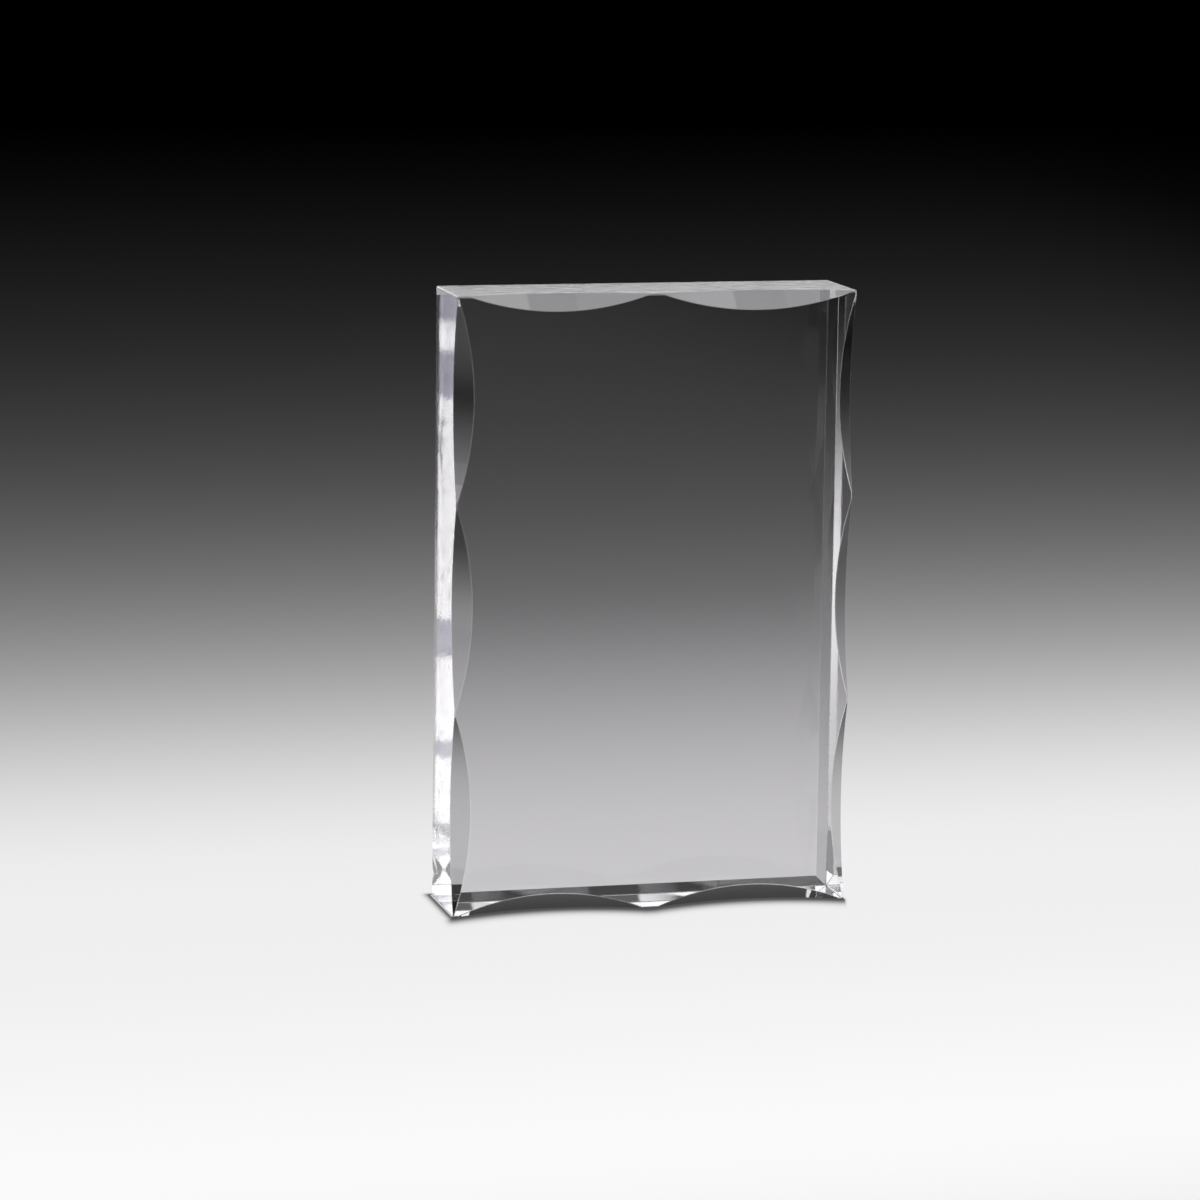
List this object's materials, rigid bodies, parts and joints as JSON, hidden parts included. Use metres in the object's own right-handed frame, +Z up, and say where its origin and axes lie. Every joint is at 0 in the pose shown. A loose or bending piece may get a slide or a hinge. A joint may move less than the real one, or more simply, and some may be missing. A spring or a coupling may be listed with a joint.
{
  "type": "crystal award block",
  "caption": "Upright rectangular block of clear polished crystal with wheel-cut scallops along the front edges, free-standing on its flat base as an award or plaque.",
  "frame": {"origin": "middle of the flat bottom face", "axes": "+Z up along the tall side, +X to the right across the front face, +Y to the back; the scalloped front face looks towards -Y"},
  "size_m": [0.1, 0.0254, 0.1524],
  "materials": {
    "crystal": "clear optical crystal, every face ground flat and polished, scallops wheel-cut and polished"
  },
  "bodies": {
    "root": {"crystal_block": "crystal"}
  },
  "joints": []
}
